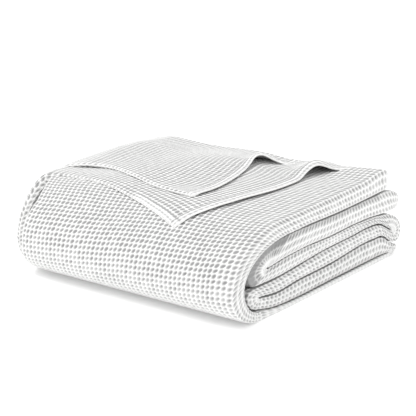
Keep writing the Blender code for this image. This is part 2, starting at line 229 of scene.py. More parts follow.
def stripSection():
    # both sides of the strip, station by station, with the stand-back of its edge, averaged over some
    # steps, and its narrowing ends: one less the root of 1 - share^2
    fine = stack["fineSteps"]
    left, right, standBack, begins = [], [], [], {}
    count = 0
    for name, steps, backSet, leftSide, rightSide in stages:
        skip = 1 if left else 0
        begins[name] = max(count - 1, 0)
        left.append(sidePoints(leftSide, steps * fine + 1)[skip:])
        right.append(sidePoints(rightSide, steps * fine + 1)[skip:])
        standBack.append(np.full(steps * fine + 1 - skip, float(backSet)))
        count += steps * fine + 1 - skip
    begins["end"] = count - 1
    left, right, standBack = np.concatenate(left), np.concatenate(right), np.concatenate(standBack)
    window = stack["standBackEase"] * fine
    padded = np.pad(standBack, (window // 2, window - 1 - window // 2), mode="edge")
    standBack = np.convolve(padded, np.ones(window) / window, mode="valid")
    share = np.zeros(count)
    first, last = stages[0][1] * fine, stages[-1][1] * fine
    share[: first + 1] = np.linspace(stack["endNarrows"], 0, first + 1)
    share[-last - 1 :] = np.linspace(0, stack["endNarrows"], last + 1)
    narrow = stack["endRound"] * (1 - np.sqrt(1 - share**2))
    return {"left": left, "right": right, "standBack": standBack, "narrow": narrow, "begins": begins}


def leftLine():
    # two quarter ellipses, out to the belly and back in to the foot, and a straight end under the stack
    turn = np.linspace(0, np.pi / 2, samples["leftEnd"])
    highX = stack["leftTop"] - stack["leftBelly"] * np.sin(turn)
    highUp = stack["leftBellyUp"] + (stack["topUp"] - stack["leftBellyUp"]) * np.cos(turn)
    lowX = stack["leftTop"] - stack["leftBelly"] + stack["leftTuck"] * (1 - np.cos(turn[1:]))
    lowUp = stack["leftBellyUp"] - (stack["leftBellyUp"] - stack["leftFootUp"]) * np.sin(turn[1:])
    under = np.array([[lowX[-1] + stack["leftUnder"], stack["leftFootUp"]]])
    return np.concatenate([np.stack([highX, highUp], 1), np.stack([lowX, lowUp], 1), under])


leftEnd = leftLine()
leftEndRun = distanceAlong(leftEnd)
leftRise = leftEnd[:-1][::-1]  # from the foot up
section = stripSection()


def cornerIn(x, back, up):
    # the front left corner is drawn in, broad and round, more above the bullnose than below it; the
    # share grows evenly along the front, so that the cells keep one width
    above = np.interp(back, *stack["cornerAbove"])
    below = np.interp(back, *stack["cornerBelow"])
    most = below + (above - below) * inZone("cornerUp", up)
    begins, full = stack["cornerAlong"]
    return most * np.clip((x - begins) / (full - begins), 0, 1)


def rearRise(x, back, up):
    # the top run stands a little higher at its rear right corner: a product of three soft steps
    return stack["rearRise"] * inZone("riseRight", x) * inZone("riseBack", back) * inZone("riseUp", up)


def settle(x, back, up):
    # sine waves sway and swell the stack along its length, its front sits back at the left end, and
    # the rear of its top run sits forward, by soft steps
    sway = stack["sway"] * np.sin(x / stack["swayWave"] + stack["swayStart"]) * inZone("height", up)
    leftBack = stack["frontLeftBack"] * inZone("leftEnd", x) ** 2 * inZone("frontHalf", back)
    rearSet = stack["rearSet"] - stack["rearSetLess"] * inZone("rearLeftEnd", x)
    rearSet = rearSet * inZone("rearLeftOf", x) * inZone("rearHalf", back) * inZone("rearTop", up)
    swell = stack["swell"] * np.sin(x / stack["swellWave"] + stack["swellStart"])
    swell = swell * inZone("offTheFront", back)
    ripple = stack["ripple"] * np.sin(x / stack["rippleWaves"][0] - back / stack["rippleWaves"][1])
    y = back + sway + leftBack - rearSet - stack["depth"] / 2
    return np.stack([x, y, up * (1.0 + swell + ripple)], -1)


weave = {
    "cellAcross": 8.2,  # a plain cell, ridge to ridge along the blanket's length
    "cellAlong": 7.5,  # and the other way
    "quads": 4,  # faces to a cell
    "depth": 2.8,  # from a ridge's crossing down to the middle of a pit
    "steep": 0.6,  # below 1 the ridges are narrower than the pits
    "ridgeSag": 0.15,  # how far a ridge sags between two crossings, as a share of the depth
    "uneven": 0.2,  # how much the depth of the pits varies
    "wobble": 0.05,  # how far a ridge swings from side to side within a cell
    "wander": 0.35,  # how far a yarn strays sideways
    "slowWaves": ((0.9, 0.37, 1.0), (-0.21, 1.13, 2.0)),  # radians to a cell across and along, start
    "quickWaves": ((2.7, 3.1), (3.3, 1.7)),  # across and its start, along and its start
    "slowShare": 0.5,
    "drawnIn": 0.7,  # a cell that is shorter than this share of a plain one has shallower pits
    "levelDepth": 0.75,  # the pits are pressed shallower where the cloth lies level
    "paintedShadeMost": 1.4,  # the painted shade in a pit counts no more depth than this
    "paintedShadeShape": 0.9,  # below 1 the painted shade reaches further up the sides of a pit
    "paintedShadeLevel": 0.9,  # how much stronger the painted shade is where the cloth lies level
    "seed": 7,
}


def cellNoise(p, q, seed):
    # the fraction of a large sine of the cell's whole numbers: one value from 0 to 1 for each cell
    a = np.floor(p) * 127.1 + np.floor(q) * 311.7 + seed * 74.7
    return np.mod(np.abs(np.sin(a)) * 43758.5453, 1.0)


def pitDepth(p, q):
    # sin^2 across times sin^2 along for the pit, and a little of each for the sagging ridges, which
    # swing from side to side by the sine of the other way
    across = np.sin(np.pi * (p + weave["wobble"] * np.sin(2 * np.pi * q))) ** 2
    along = np.sin(np.pi * (q + weave["wobble"] * np.sin(2 * np.pi * p))) ** 2
    pit = (across * along) ** weave["steep"]
    uneven = 1 + weave["uneven"] * (2 * cellNoise(p, q, weave["seed"]) - 1)
    return weave["ridgeSag"] * (across + along) / 2 + (1 - weave["ridgeSag"]) * pit * uneven


def levelShare(normal):
    # 0 on an upright or hanging face, 1 where the cloth lies level and faces up
    return np.clip(normal[..., 2], 0, 1)


def depthAt(level):
    # the full depth on an upright face, the pressed share of it where the cloth lies level
    return weave["depth"] * (1 - (1 - weave["levelDepth"]) * level)


def paintedPitShade(pit, level):
    # painted shade in the pits: the depth to a power below 1, stronger where the cloth lies level
    return np.clip(pit, 0, weave["paintedShadeMost"]) ** weave["paintedShadeShape"] * (1 + weave["paintedShadeLevel"] * level)


def fullCell(length, plain):
    # 1 for a cell of nearly plain length, less in proportion where the cloth is drawn together
    return np.clip(length / plain / weave["drawnIn"], 0, 1)


def wander(p, q, seed):
    # a sum of slow waves and a product of quick ones, so that no yarn runs quite straight
    slow = sum(np.sin(p * across + q * along + seed * start) for across, along, start in weave["slowWaves"])
    (across, startAcross), (along, startAlong) = weave["quickWaves"]
    quick = np.sin(p * across + seed * startAcross) * np.sin(q * along + seed * startAlong)
    return weave["wander"] * (weave["slowShare"] * slow + quick)


def stray(first, second, p, q, seeds, room):
    # two wanders, each along its own direction in the cloth
    shift = first * (wander(p, q, seeds[0]) * room)[..., None]
    return shift + second * (wander(p, q, seeds[1]) * room)[..., None]


def gridNormals(points):
    # the cross product of the steps along columns and along rows
    normal = np.cross(np.gradient(points, axis=1), np.gradient(points, axis=0))
    size = np.linalg.norm(normal, axis=-1, keepdims=True)
    return normal / np.maximum(size, tiny)


def unitSteps(points, axis):
    # the direction to the next point, and the length of a cell there
    step = np.gradient(points, axis=axis)
    size = np.linalg.norm(step, axis=-1)
    return step / np.maximum(size, tiny)[..., None], size * weave["quads"]


def gridQuads(chosen, columns, step=1):
    # the four corners of each chosen face of a grid, row by row, each face step rows and columns wide
    whole = chosen.shape[0] // step * step
    i, j = np.nonzero(chosen[:whole:step, ::step])
    a = i * step * columns + j * step
    return np.stack([a, a + step, a + step * (columns + 1), a + step * columns], 1)


def clothObject(name, points, quads, cells, paintedShade, material):
    # only the points that a face uses, in metres, with the weave's own coordinates as a UV map and
    # the painted shade of the pits and gaps as an attribute
    used, index = np.unique(quads, return_inverse=True)
    quads = index.reshape(quads.shape).astype(np.int32)
    mesh = bpy.data.meshes.new(name)
    mesh.vertices.add(len(used))
    mesh.vertices.foreach_set("co", (points.reshape(-1, 3)[used] * metres).astype(np.float32).ravel())
    mesh.loops.add(quads.size)
    mesh.loops.foreach_set("vertex_index", quads.ravel())
    mesh.polygons.add(len(quads))
    mesh.polygons.foreach_set("loop_start", np.arange(0, quads.size, 4, dtype=np.int32))
    mesh.update(calc_edges=True)
    plainCell = np.array([weave["cellAcross"], weave["cellAlong"]]) * metres
    cells = cells.reshape(-1, 2)[used] * plainCell
    layer = mesh.uv_layers.new(name="weave")
    layer.data.foreach_set("uv", cells[quads.ravel()].astype(np.float32).ravel())
    shade = mesh.attributes.new("pit", "FLOAT", "POINT")
    shade.data.foreach_set("value", paintedShade.ravel()[used].astype(np.float32))
    mesh.validate()
    mesh.shade_smooth()
    mesh.materials.append(material)
    thing = bpy.data.objects.new(name, mesh)
    bpy.context.collection.objects.link(thing)
    print(name, len(mesh.polygons) * 2, "triangles")
    return thing


def linear(code):
    # an sRGB hex colour as linear values
    value = np.array([int(code[k : k + 2], 16) for k in (1, 3, 5)]) / 255.0
    value = np.where(value <= 0.04045, value / 12.92, ((value + 0.055) / 1.055) ** 2.4)
    return (*value.tolist(), 1.0)


def addNode(tree, kind, settings=None, inputs=None):
    # a node with its settings, and inputs that are values or sockets to link
    node = tree.nodes.new(kind)
    for key, value in (settings or {}).items():
        setattr(node, key, value)
    for key, value in (inputs or {}).items():
        if isinstance(value, bpy.types.NodeSocket):
            tree.links.new(value, node.inputs[key])
        else:
            node.inputs[key].default_value = value
    return node


cottonLook = {
    "ridge": "#F9F9F8",
    # the pit colour is painted shade, mixed in by the pit attribute
    "pit": "#9C9C9C",
    "roughness": 0.92,
    "specular": 0.2,
    "sheen": 0.12,
    "sheenRoughness": 0.5,
    "yarn": 2.17,  # from one yarn to the next; the real 0.5 mm is drawn as coarse as it needs to show
    "yarnUneven": 1.2,
    "yarnBump": 0.18,
    "yarnStrength": 0.6,
    "fuzz": 1.2,  # from one tuft to the next, also drawn coarse
    "fuzzBump": 0.22,
    "fuzzStrength": 0.7,
}
waveRadians = 20.0  # the wave texture turns by this angle in a length of one


def cottonMaterial(name):
    # combed cotton yarn, bleached and woven: matt, with a soft light edge, and painted shade mixed in
    # from the pit attribute, darker in the pits and gaps; warp and weft are two sets of sine bands, the
    # higher of which counts, with noise for fuzz
    material = bpy.data.materials.new(name)
    material.use_nodes = True
    tree = material.node_tree
    shader = tree.nodes["Principled BSDF"]
    shader.inputs["Roughness"].default_value = cottonLook["roughness"]
    shader.inputs["Specular IOR Level"].default_value = cottonLook["specular"]
    shader.inputs["Sheen Weight"].default_value = cottonLook["sheen"]
    shader.inputs["Sheen Roughness"].default_value = cottonLook["sheenRoughness"]
    # the pit attribute carries the painted shade of the pits and gaps
    pit = addNode(tree, "ShaderNodeAttribute", {"attribute_name": "pit"})
    colours = {6: linear(cottonLook["ridge"]), 7: linear(cottonLook["pit"])}
    mix = addNode(tree, "ShaderNodeMix", {"data_type": "RGBA"}, {"Factor": pit.outputs["Fac"], **colours})
    tree.links.new(mix.outputs[2], shader.inputs["Base Color"])
    weaveMap = addNode(tree, "ShaderNodeUVMap", {"uv_map": "weave"})
    bands = {
        "Vector": weaveMap.outputs["UV"],
        "Scale": 2 * math.pi / waveRadians / (cottonLook["yarn"] * metres),
        "Distortion": cottonLook["yarnUneven"],
        "Detail": 1.0,
    }
    warp = addNode(tree, "ShaderNodeTexWave", {"bands_direction": "X"}, bands)
    weft = addNode(tree, "ShaderNodeTexWave", {"bands_direction": "Y"}, bands)
    either = {0: warp.outputs["Fac"], 1: weft.outputs["Fac"]}
    crossed = addNode(tree, "ShaderNodeMath", {"operation": "MAXIMUM"}, either)
    yarnHeight = {
        "Height": crossed.outputs[0],
        "Distance": cottonLook["yarnBump"] * metres,
        "Strength": cottonLook["yarnStrength"],
    }
    yarnBump = addNode(tree, "ShaderNodeBump", None, yarnHeight)
    coords = addNode(tree, "ShaderNodeTexCoord")
    tufts = {
        "Vector": coords.outputs["Object"],
        "Scale": 1.0 / (cottonLook["fuzz"] * metres),
        "Detail": 3.0,
    }
    fuzz = addNode(tree, "ShaderNodeTexNoise", None, tufts)
    fuzzHeight = {
        "Height": fuzz.outputs["Fac"],
        "Distance": cottonLook["fuzzBump"] * metres,
        "Strength": cottonLook["fuzzStrength"],
        "Normal": yarnBump.outputs["Normal"],
    }
    fuzzBump = addNode(tree, "ShaderNodeBump", None, fuzzHeight)
    tree.links.new(fuzzBump.outputs["Normal"], shader.inputs["Normal"])
    return material


cotton = cottonMaterial("bleached cotton waffle")

strip = {
    "flatCells": 46,  # cells from one folded edge to the other
    "turnCells": 5,  # cells round each folded edge
    "edgeCells": 3,  # cells beside a folded edge that can be seen into
    "rearCells": 4,  # cells of a run beside its rear lobe that can be seen into
    "noseCells": 8,  # cells of a run beside its nose that are made at the left end
    "edgeShare": 0.85,  # a thin run's edge is no rounder than this share of half its thickness
    "squareness": 0.42,  # the folded edges are pressed flat: 1 is a half circle, less is squarer
    "edgeLevelShare": 1.2,  # half of the strip's thickness against how far its edge stands out
    "closing": (0.92, 0.75, 0.45, 0.0),  # what is left of the thickness where an end closes
    "closingEdge": 1.5,  # how much longer the folded edge keeps its reach there
    "topPitch": 9.4,  # the cells lie stretched on the top and in the inner runs
    "climb": 0.095,  # how far a row of cells climbs as it goes right, on the front
    "climbAcross": 440.0,  # over this length
    "climbBegins": (-6, -2),  # in cells from the first row of the bullnose
    "climbFades": (22, -2),  # in cells from the first row of the top run
    "floorNear": 1.0,  # faces that are nearer to the floor and look down have no pits
    "floorFacing": -0.7,
    "rowSlack": 0.01,  # a row that is this much short of a region still counts
    "wanderSeeds": (1.0, 4.0),
}


def loopTable():
    # once round: half of the inner side, the left fold, the outer side, the right fold, the other half;
    # a fold's outline is a sine and a cosine, each to the power of its squareness
    quads = weave["quads"]
    half = strip["flatCells"] // 2
    middle = half / strip["flatCells"]
    flat = strip["flatCells"] * quads
    turn = strip["turnCells"] * quads
    side = half * quads
    angle = np.radians(np.linspace(90, -90, samples["edge"]))
    edgeOut = np.abs(np.cos(angle)) ** strip["squareness"]
    edgeLevel = np.sign(np.sin(angle)) * np.abs(np.sin(angle)) ** strip["squareness"]
    run = distanceAlong(np.stack([edgeOut, edgeLevel * strip["edgeLevelShare"]], 1))
    at = np.linspace(0, run[-1], turn + 1)[:-1]
    edgeOut, edgeLevel = np.interp(at, run, edgeOut), np.interp(at, run, edgeLevel)
    along = [np.linspace(middle, 0, side + 1)[:-1], np.zeros(turn), np.linspace(0, 1, flat + 1)[:-1]]
    along += [np.ones(turn), np.linspace(1, middle, side + 1)]
    out = [np.zeros(side), -edgeOut, np.zeros(flat), edgeOut, np.zeros(side + 1)]
    level = [-np.ones(side), -edgeLevel, np.ones(flat), edgeLevel, -np.ones(side + 1)]
    table = {"along": np.concatenate(along), "out": np.concatenate(out), "side": np.concatenate(level)}
    table["cell"] = np.arange(len(table["along"])) / quads
    table["leftFold"] = half
    table["outer"] = half + strip["turnCells"]
    table["rightFold"] = table["outer"] + strip["flatCells"]
    table["innerRight"] = table["rightFold"] + strip["turnCells"]
    return table


def stationCells():
    # the longer of the two sides' steps, added up and divided into cells
    stepLeft = np.hypot(*np.diff(section["left"], axis=0).T)
    stepRight = np.hypot(*np.diff(section["right"], axis=0).T)
    pitch = np.full(len(stepLeft), strip["topPitch"])
    pitch[section["begins"]["bullnose"] : section["begins"]["topRun"]] = weave["cellAlong"]
    return np.concatenate([[0.0], np.cumsum(np.maximum(stepLeft, stepRight) / pitch)])


loop = loopTable()
cellsAtStation = stationCells()


def stageCell(name):
    # the cell at which a stage begins
    return cellsAtStation[section["begins"][name]]


def stripPoints(station, closing):
    # the middle of the strip and half its thickness, carried round the loop at each station
    k = np.arange(len(section["left"]))
    leftBack, leftUp = (np.interp(station, k, values) for values in section["left"].T)
    rightBack, rightUp = (np.interp(station, k, values) for values in section["right"].T)
    standBack, narrow = (np.interp(station, k, section[key]) for key in ("standBack", "narrow"))
    side = loop["side"][None, :] * closing
    back = (leftBack + rightBack) / 2 + (leftBack - rightBack) / 2 * side
    up = (leftUp + rightUp) / 2 + (leftUp - rightUp) / 2 * side
    half = np.hypot(leftBack - rightBack, leftUp - rightUp) / 2
    edgeRound = np.minimum(stack["edgeRound"], half * strip["edgeShare"])
    rightEnd = stack["rightEnd"] - edgeRound - standBack - narrow
    reach = np.interp(up, leftRise[:, 1], leftRise[:, 0]) + stack["layerGap"]
    leftFlat = reach + edgeRound + narrow
    x = leftFlat + (rightEnd - leftFlat) * loop["along"][None, :]
    x = x + loop["out"][None, :] * edgeRound * np.clip(closing * strip["closingEdge"], 0, 1)
    x = x + cornerIn(x, back, up)
    return settle(x, back, up + rearRise(x, back, up))


def stripRows(firstCell, lastCell, climb):
    # rows spaced evenly between two cells, and the station of each point of a grid whose rows climb
    # from left to right
    rows = np.linspace(firstCell, lastCell, round((lastCell - firstCell) * weave["quads"]) + 1)
    cell = rows[:, None] + climb(rows)[:, None] * (loop["along"][None, :] - 0.5)
    return rows, np.interp(cell, cellsAtStation, np.arange(len(cellsAtStation)))


def closedEnds(rows, station, closeFirst, closeLast):
    # more rows at an end, half a face apart, over which the strip's two sides come together
    shares = np.array(strip["closing"])
    steps = np.arange(1, len(shares) + 1) / weave["quads"] / 2
    closing = np.ones(len(rows))
    if closeFirst:
        rows = np.concatenate([rows[0] - steps[::-1], rows])
        station = np.concatenate([np.repeat(station[:1], len(shares), 0), station])
        closing = np.concatenate([shares[::-1], closing])
    if closeLast:
        rows = np.concatenate([rows, rows[-1] + steps])
        station = np.concatenate([station, np.repeat(station[-1:], len(shares), 0)])
        closing = np.concatenate([closing, shares])
    return rows, station, closing[:, None]


def stripShown(rows, regions):
    # which faces of the grid are made: each region goes from one row to another, and over some columns
    shown = np.zeros((len(rows) - 1, len(loop["cell"]) - 1), bool)
    quads = weave["quads"]
    for low, high, firstColumn, lastColumn in regions:
        inside = (rows[:-1] >= low - strip["rowSlack"]) & (rows[1:] <= high + 1)
        shown[np.ix_(inside, np.arange(round(firstColumn * quads), round(lastColumn * quads)))] = True
    return shown


def gapShade(rows, paintedGapShade):
    # painted shade: a soft step over the last cells of the right fold, on the side that faces the next run
    cell = loop["cell"]
    shade = np.zeros((len(rows), len(cell)))
    for low, high, side, wide, amount in paintedGapShade:
        inside = (rows >= low) & (rows <= high)
        if side == "inner":
            step = between(loop["innerRight"] - wide, loop["innerRight"], cell)
        else:
            nearFold = cell > loop["rightFold"] - strip["turnCells"]
            step = between(loop["rightFold"] + wide, loop["rightFold"], cell) * nearFold
        shade = shade + amount * inside[:, None] * step[None, :]
    return shade


def stripPiece(name, begins, ends, climb, regions, wide=(), paintedGapShade=(), closeFirst=False, closeLast=False):
    # a stretch of the strip, with the pits of the weave sunk along its normals, shallower where the
    # cloth is drawn together; the wide regions lie flat on the floor in faces of a whole cell
    rows, station = stripRows(stageCell(begins), stageCell(ends), climb)
    rows, station, closing = closedEnds(rows, station, closeFirst, closeLast)
    base = stripPoints(station, closing)
    normal = gridNormals(base)
    across, cellAcross = unitSteps(base, 1)
    along, cellAlong = unitSteps(base, 0)
    p = np.broadcast_to(loop["cell"][None, :], station.shape)
    q = np.broadcast_to(rows[:, None], station.shape)
    onFloor = (base[..., 2] < strip["floorNear"]) & (normal[..., 2] < strip["floorFacing"])
    room = np.where(onFloor, 0.0, 1.0) * closing
    room = room * fullCell(cellAlong, weave["cellAlong"]) * fullCell(cellAcross, weave["cellAcross"])
    pit = pitDepth(p, q) * room
    level = levelShare(normal)
    points = base - normal * (pit * depthAt(level))[..., None]
    points = points + stray(across, along, p, q, strip["wanderSeeds"], room)
    points[..., 2] = np.maximum(points[..., 2], 0.0)
    columns = len(loop["cell"])
    quads = gridQuads(stripShown(rows, regions), columns)
    if wide:
        quads = np.concatenate([quads, gridQuads(stripShown(rows, wide), columns, weave["quads"])])
    # painted shade in the pits, and in the gaps beside the folds
    paintedShade = paintedPitShade(pit, level) + gapShade(rows, paintedGapShade)
    return clothObject(name, points, quads, np.stack([p, q], -1), paintedShade, cotton)


def levelRows(rows):
    # no climb: the rows run straight along the folds
    return np.zeros(len(rows))


def frontClimb(rows):
    # the climb in cells from left to right: full on the front, faded out before the rear
    bullnoseRows = rows - stageCell("bullnose")
    topRows = rows - stageCell("topRun")
    share = between(*strip["climbBegins"], bullnoseRows) * between(*strip["climbFades"], topRows)
    return strip["climb"] * strip["climbAcross"] / weave["cellAlong"] * share


# columns of the loop and rows of the strip: only what can be seen is made
edgeCells, rearCells, noseCells = (strip[key] for key in ("edgeCells", "rearCells", "noseCells"))
rightBand = (loop["rightFold"] - edgeCells, loop["innerRight"] + edgeCells)
leftBand = (loop["leftFold"] - edgeCells, loop["outer"] + edgeCells)
betweenBands = (loop["outer"] + edgeCells, loop["rightFold"] - edgeCells)
outerSide = (loop["leftFold"] - edgeCells, loop["innerRight"] + edgeCells)
everyColumn = (0, loop["innerRight"] + strip["flatCells"] // 2)
everyRow = (0, stageCell("end"))

innerRegions = [
    (*everyRow, *rightBand),
    (-1, stageCell("runTwo") + rearCells, *everyColumn),
    (stageCell("lobeThree") - rearCells, stageCell("runFourRear") + rearCells, *outerSide),
    (stageCell("lobeFour") - rearCells, stageCell("bottomRun"), *outerSide),
    (stageCell("noseUpper") - noseCells, stageCell("runThree") + noseCells, *leftBand),
    (stageCell("noseLower") - noseCells, stageCell("runFive") + noseCells, *leftBand),
]
wrapRegions = [
    (*everyRow, *rightBand),
    (stageCell("bullnose") - edgeCells, everyRow[1], *outerSide),
    (stageCell("lobeOne") - 1, everyRow[1], *everyColumn),
]
# painted shade in the gaps: first and last row, side, width in cells, strength
innerShade = [
    (stageCell("runTwo") + 2, stageCell("noseUpper"), "inner", 1.6, 1.0),
    (stageCell("noseUpper"), stageCell("runThree"), "inner", 3.2, 1.6),
    (stageCell("runThree"), stageCell("noseLower"), "inner", 1.2, 0.5),
    (stageCell("runFour"), stageCell("lobeFour"), "outer", 1.2, 0.5),
]
innerRuns = stripPiece(
    "innerRuns", "lobeTwo", "bottomRun", levelRows, innerRegions, paintedGapShade=innerShade, closeFirst=True
)
underside = stripPiece(
    "underside",
    "bottomRun",
    "bullnose",
    levelRows,
    [(*everyRow, *leftBand)],
    wide=[(*everyRow, *betweenBands)],
)
outerWrap = stripPiece("outerWrap", "bottomRun", "end", frontClimb, wrapRegions, closeLast=True)

# the two loose corners: plans of the front edge and of the hem as (x, back), where x beyond the stack's
# top goes on down its left end
flapPlans = {
    "lowerFlap": {
        "thick": 3.6,
        "clear": 1.0,  # from the cloth below
        "root": 0.0,  # how far the left end sinks into what is under it
        "frontPress": 1.2,  # how far the front edge is pressed down
        "bury": 0.0,  # how far the rear end of the hem sinks in
        "front": [
            (-350, 43), (-282, 43), (-252, 49), (-221, 66), (-202, 84), (-178, 101), (-140, 104), (-105, 99),
            (-32, 79), (40, 56), (98, 39),
        ],
        "hem": [
            (98, 39), (125, 93), (137, 154), (146, 213), (144, 277), (138, 316), (145, 342), (161, 362),
            (172, 382), (176, 400),
        ],
        "rearDrop": 24.0,  # how far it goes on down the rear
        "cells": (55, 44, 3),  # along, across the top, and down the rear
        "deepness": 330.0,  # from the front fold to the rear
        "foldRound": 7.0,  # how far in from the front fold the sheet has its full thickness
        "foldCells": 2,
        # extra depth of the front fold on top and down the left end, and where it begins and ends to grow
        "foldDeep": (3.0, 15.0, -150.0, -200.0),
        "foldFade": 22.0,  # how far in from its full thickness the extra depth fades out
        "frontHem": (-40.0, 0.0),  # the front edge is hemmed from here to the tip
        # low humps: height, where along and back, reach along and back
        "rolls": [(14.0, 134.0, 344.0, 19.0, 32.0), (4.0, 118.0, 410.0, 20.0, 120.0)],
    },
    "upperFlap": {
        "thick": 3.6,
        "clear": 5.7,
        "root": 9.0,
        "frontPress": 0.0,
        "bury": 5.0,
        "front": [(-262, 120), (-190, 136), (-131, 158), (-56, 134), (1, 115), (78, 104)],
        "hem": [
            (78, 104), (82, 150), (74, 202), (62, 250), (53, 290), (53, 316), (69, 335), (83, 350), (88, 400)
        ],
        "rearDrop": 14.0,
        "cells": (38, 35, 2),
        "deepness": 280.0,
        "foldRound": 5.0,
        "foldCells": 1,
        "foldDeep": (3.0, 3.0, -150.0, -200.0),
        "foldFade": 18.0,
        "frontHem": None,
        "rolls": [(11.0, 55.0, 321.0, 16.0, 28.0), (5.0, -175.0, 215.0, 45.0, 110.0)],
    },
}
flapLie = {
    "wave": 0.5,  # how far both sheets ripple
    "waves": (30.0, 45.0),
    "rootAt": (0.32, 0.12),  # shares of the length at which the left end begins to sink and has sunk
    "pressAt": (0.07, 0.0),  # shares of the way to the rear for the pressed front edge
    "buryBack": (335, 360),
    "buryAlong": (0.8, 1.0),
    "rearPress": 0.6,  # how much of the clearance is lost over the rear fold
    "rearAt": (0.9, 1.4),  # where 1 is the rear fold and 2 the sheet's end
    "foldFaces": 8,  # faces from the front fold's rim to its full thickness
    "underRelief": 0.5,  # how deep the pits are on the lower side
    "underFull": 8.0,  # the extra depth of the fold at which they are full
    "reliefIn": 1.5,  # how quickly the pits deepen from a cut edge inwards
    "wanderSeeds": (2.0, 5.0),
}
hem = {
    "wide": 12.5,
    "thick": 1.2,
    "round": 3.0,  # how far in from the rim the sheet has its full thickness
    "soft": 0.6,  # half of the step at its inner edge
    "cells": 2,
    "steps": (0.1, 0.2, 0.35, 0.5, 0.65, 0.78, 0.88, 0.95, 0.985, 1.0),
    "smooth": 0.7,  # how much of the weave's relief is pressed out of the turned hem
    "grooves": 0.22,  # the fine grooves along the hem, as a share of the weave's depth
    "shade": 0.8,  # painted shade: how much darker the face is that lies on the cloth below
    "shadeAt": (0.9, 1.8),  # in cells from the front edge
    "stitchIn": 1.6,
    "stitchSink": 0.7,
    "stitchWide": 1.1,
    # painted shade in the sunk stitch line
    "stitchShade": 0.4,
}


def topProfile():
    # the front arc, the top line and the rear lobe, end to end
    nose = arcPoints("bullnose", samples["topFront"])
    lobe = arcPoints("lobeOne", samples["topRear"])
    back = np.linspace(nose[-1, 0], lobe[0, 0], samples["topLine"])
    top = np.stack([back, heightThrough(gapLines["top"], back)], 1)
    line = np.concatenate([nose[:-1], top, lobe[1:]])
    run = distanceAlong(line)
    return line, run, run[len(nose) + len(top) - 2]


profile, profileRun, rearRun = topProfile()


def outwardOf(line, run, at):
    # a quarter turn to the left of the line's direction
    step = np.stack([np.gradient(line[:, 0], run), np.gradient(line[:, 1], run)], 1)
    return -np.interp(at, run, step[:, 1]), np.interp(at, run, step[:, 0])


def flapLift(plan, along, across, path, back):
    # the height of the sheet's middle above the cloth below: its clearance, a ripple and Gaussian rolls,
    # less what is pressed down or buried, by soft steps
    waves = np.sin(path / flapLie["waves"][0] + back / flapLie["waves"][1])
    lift = plan["clear"] + plan["thick"] / 2 + flapLie["wave"] * (1 + waves)
    for height, atAlong, atBack, wide, deep in plan["rolls"]:
        lift = lift + height * np.exp(-(((path - atAlong) / wide) ** 2) - ((back - atBack) / deep) ** 2)
    lift = lift - plan["root"] * between(*flapLie["rootAt"], along)
    lift = lift - plan["frontPress"] * between(*flapLie["pressAt"], across)
    lift = lift - plan["bury"] * between(*flapLie["buryBack"], back) * between(*flapLie["buryAlong"], along)
    return lift - plan["clear"] * flapLie["rearPress"] * between(*flapLie["rearAt"], across)


def flapMiddle(plan, along, across):
    # the plan laid over the top profile, and where it passes the left edge, down the left line
    start, tip = plan["front"][0][0], plan["front"][-1][0]
    firstBack = heightThrough(plan["front"], start + along * (tip - start))
    firstRun = np.interp(firstBack, profile[:, 0], profileRun)
    atRun = firstRun + np.clip(across, 0, 1) * (rearRun - firstRun)
    atRun = atRun + np.clip(across - 1, 0, 1) * plan["rearDrop"]
    back = np.interp(atRun, profileRun, profile[:, 0])
    up = np.interp(atRun, profileRun, profile[:, 1])
    hemAt = heightThrough([(p[1], p[0]) for p in plan["hem"]], back)
    path = start + along * (hemAt - start)
    lift = flapLift(plan, along, across, path, back)
    outBack, outUp = outwardOf(profile, profileRun, atRun)
    over = np.clip(stack["leftTop"] - path, 0, None)
    upward, aside = outwardOf(leftEnd[:, ::-1], leftEndRun, over)
    x = np.where(over > 0, np.interp(over, leftEndRun, leftEnd[:, 0]) + lift * aside, path)
    share = np.interp(over, leftEndRun, leftEnd[:, 1]) / stack["topUp"]
    upward = np.where(over > 0, upward, 1.0)
    return settle(x, back + lift * outBack * upward, up * share + lift * outUp * upward)


def roundedRim(distance, reach):
    # a quarter ellipse: 0 at the rim, 1 from the reach inwards
    return np.sqrt(1 - (1 - np.clip(distance / reach, 0, 1)) ** 2)


def flapLines(plan):
    # the grid's lines: close together round the front fold and the hem, a quarter of a cell elsewhere
    quads = weave["quads"]
    cellsAlong, cellsAcross, cellsDown = plan["cells"]
    hemShare = hem["wide"] / (plan["front"][-1][0] - plan["front"][0][0])
    hemSteps = np.array(hem["steps"])
    along = np.linspace(0, 1 - hemShare, cellsAlong * quads + 1)
    along = np.concatenate([along, 1 - hemShare + hemShare * hemSteps])
    p = np.concatenate([np.arange(cellsAlong * quads + 1) / quads, cellsAlong + hemSteps * hem["cells"]])
    foldShare = plan["foldRound"] / plan["deepness"]
    turn = np.linspace(0, np.pi / 2, flapLie["foldFaces"] + 1)
    across = foldShare * (1 - np.cos(turn))
    across = np.concatenate([across, np.linspace(foldShare, 1, cellsAcross * quads + 1)[1:]])
    across = np.concatenate([across, 1 + np.linspace(0, 1, cellsDown * quads + 1)[1:]])
    q = plan["foldCells"] + np.arange(1, (cellsAcross + cellsDown) * quads + 1) / quads
    q = np.concatenate([turn / turn[-1] * plan["foldCells"], q])
    return along, across, p, q


